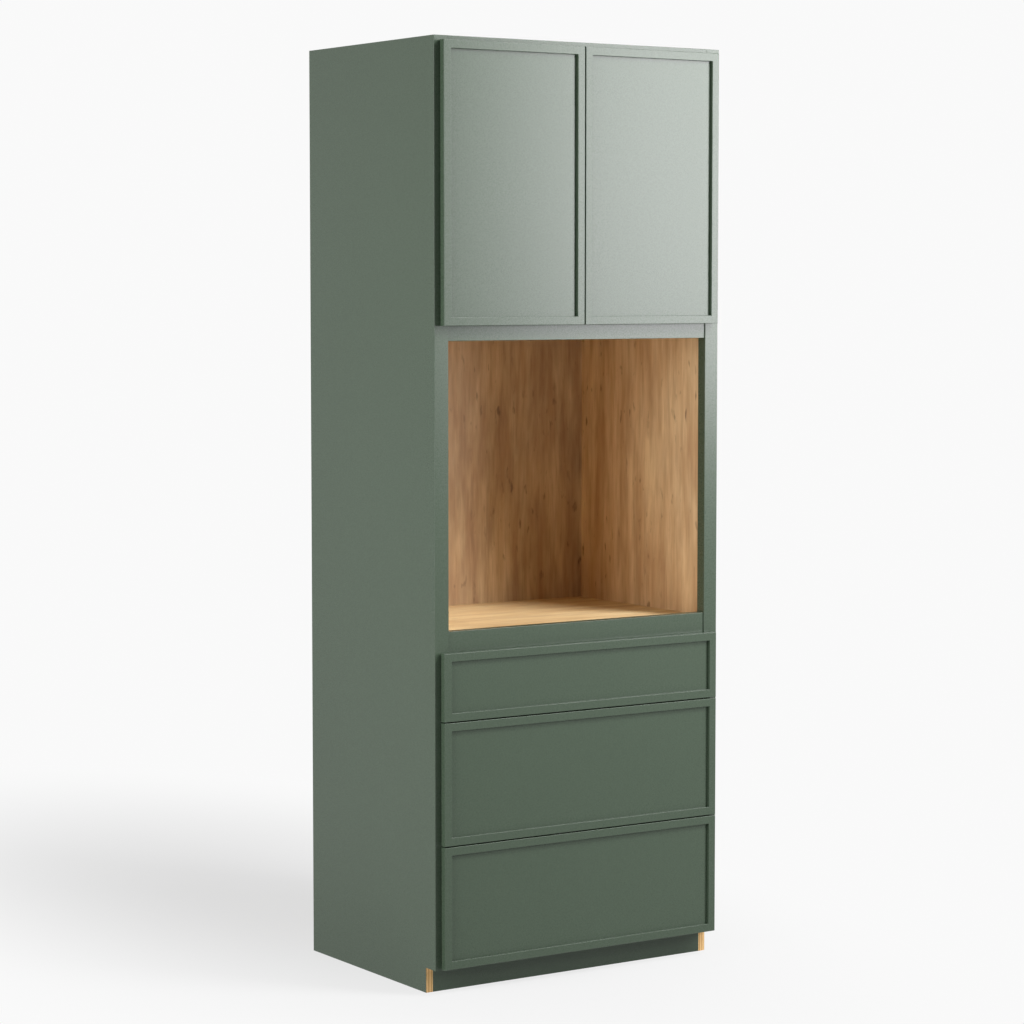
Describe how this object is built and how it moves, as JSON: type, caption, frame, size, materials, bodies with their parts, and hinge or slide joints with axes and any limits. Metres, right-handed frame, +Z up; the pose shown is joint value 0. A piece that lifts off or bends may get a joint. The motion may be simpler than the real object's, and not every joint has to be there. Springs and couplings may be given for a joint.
{
  "type": "tall oven cabinet",
  "caption": "Tall face-framed kitchen cabinet with slim-framed doors over an open oven bay and deep drawers below, on a recessed toe board.",
  "frame": {"origin": "on the floor, in the middle of the cabinet's width and overall depth", "axes": "+Z up, +X to the right as seen from the front, +Y to the wall, so the fronts face -Y"},
  "size_m": [0.8382, 0.611, 2.286],
  "materials": {
    "painted_wood": "satin paint",
    "natural_ply": "clear lacquer",
    "drawer_birch": "clear lacquer",
    "zinc_steel": "zinc plated"
  },
  "bodies": {
    "carcass": {"left_side_panel": "painted_wood", "right_side_panel": "painted_wood", "top_panel": "natural_ply", "cupboard_floor": "natural_ply", "oven_deck": "natural_ply", "bottom_deck": "natural_ply", "back_panel": "natural_ply", "hanging_rails": "natural_ply", "toe_kick_board": "painted_wood", "left_stile": "painted_wood", "right_stile": "painted_wood", "top_rail": "painted_wood", "oven_head_rail": "painted_wood", "oven_sill_rail": "painted_wood", "upper_drawer_rail": "painted_wood", "lower_drawer_rail": "painted_wood", "bottom_rail": "painted_wood", "left_oven_liner": "natural_ply", "right_oven_liner": "natural_ply", "cupboard_shelf": "natural_ply", "shelf_pins": "zinc_steel", "hinge_arms": "zinc_steel", "slide_packers": "natural_ply", "slide_cabinet_rails": "zinc_steel"},
    "left_door": {"left_door_hinge_stile": "painted_wood", "left_door_meeting_stile": "painted_wood", "left_door_top_rail": "painted_wood", "left_door_bottom_rail": "painted_wood", "left_door_panel": "painted_wood", "left_door_hinge_cups": "zinc_steel"},
    "right_door": {"right_door_hinge_stile": "painted_wood", "right_door_meeting_stile": "painted_wood", "right_door_top_rail": "painted_wood", "right_door_bottom_rail": "painted_wood", "right_door_panel": "painted_wood", "right_door_hinge_cups": "zinc_steel"},
    "top_drawer": {"top_drawer_front_frame": "painted_wood", "top_drawer_front_panel": "painted_wood", "top_drawer_box_sides": "drawer_birch", "top_drawer_box_ends": "drawer_birch", "top_drawer_box_bottom": "drawer_birch", "top_drawer_drawer_rails": "zinc_steel"},
    "top_drawer_middle": {"top_drawer_middle_rails": "zinc_steel"},
    "middle_drawer": {"middle_drawer_front_frame": "painted_wood", "middle_drawer_front_panel": "painted_wood", "middle_drawer_box_sides": "drawer_birch", "middle_drawer_box_ends": "drawer_birch", "middle_drawer_box_bottom": "drawer_birch", "middle_drawer_drawer_rails": "zinc_steel"},
    "middle_drawer_middle": {"middle_drawer_middle_rails": "zinc_steel"},
    "bottom_drawer": {"bottom_drawer_front_frame": "painted_wood", "bottom_drawer_front_panel": "painted_wood", "bottom_drawer_box_sides": "drawer_birch", "bottom_drawer_box_ends": "drawer_birch", "bottom_drawer_box_bottom": "drawer_birch", "bottom_drawer_drawer_rails": "zinc_steel"},
    "bottom_drawer_middle": {"bottom_drawer_middle_rails": "zinc_steel"}
  },
  "joints": [
    {"name": "left_door_hinge", "type": "hinge", "parent": "carcass", "child": "left_door", "pos_m": [-0.3979, -0.2939, 1.94], "axis": [0, 0, -1], "range_deg": [0, 100]},
    {"name": "right_door_hinge", "type": "hinge", "parent": "carcass", "child": "right_door", "pos_m": [0.3979, -0.2939, 1.94], "axis": [0, 0, 1], "range_deg": [0, 100]},
    {"name": "top_drawer_slide", "type": "slide", "parent": "carcass", "child": "top_drawer", "axis": [0, -1, 0], "range_m": [0, 0.48]},
    {"name": "top_drawer_middle_slide", "type": "slide", "parent": "carcass", "child": "top_drawer_middle", "axis": [0, -1, 0], "range_m": [0, 0.24]},
    {"name": "middle_drawer_slide", "type": "slide", "parent": "carcass", "child": "middle_drawer", "axis": [0, -1, 0], "range_m": [0, 0.48]},
    {"name": "middle_drawer_middle_slide", "type": "slide", "parent": "carcass", "child": "middle_drawer_middle", "axis": [0, -1, 0], "range_m": [0, 0.24]},
    {"name": "bottom_drawer_slide", "type": "slide", "parent": "carcass", "child": "bottom_drawer", "axis": [0, -1, 0], "range_m": [0, 0.48]},
    {"name": "bottom_drawer_middle_slide", "type": "slide", "parent": "carcass", "child": "bottom_drawer_middle", "axis": [0, -1, 0], "range_m": [0, 0.24]}
  ],
  "couplings": [
    {"joint": "top_drawer_middle_slide", "follows": "top_drawer_slide", "ratio": 0.5},
    {"joint": "middle_drawer_middle_slide", "follows": "middle_drawer_slide", "ratio": 0.5},
    {"joint": "bottom_drawer_middle_slide", "follows": "bottom_drawer_slide", "ratio": 0.5}
  ]
}
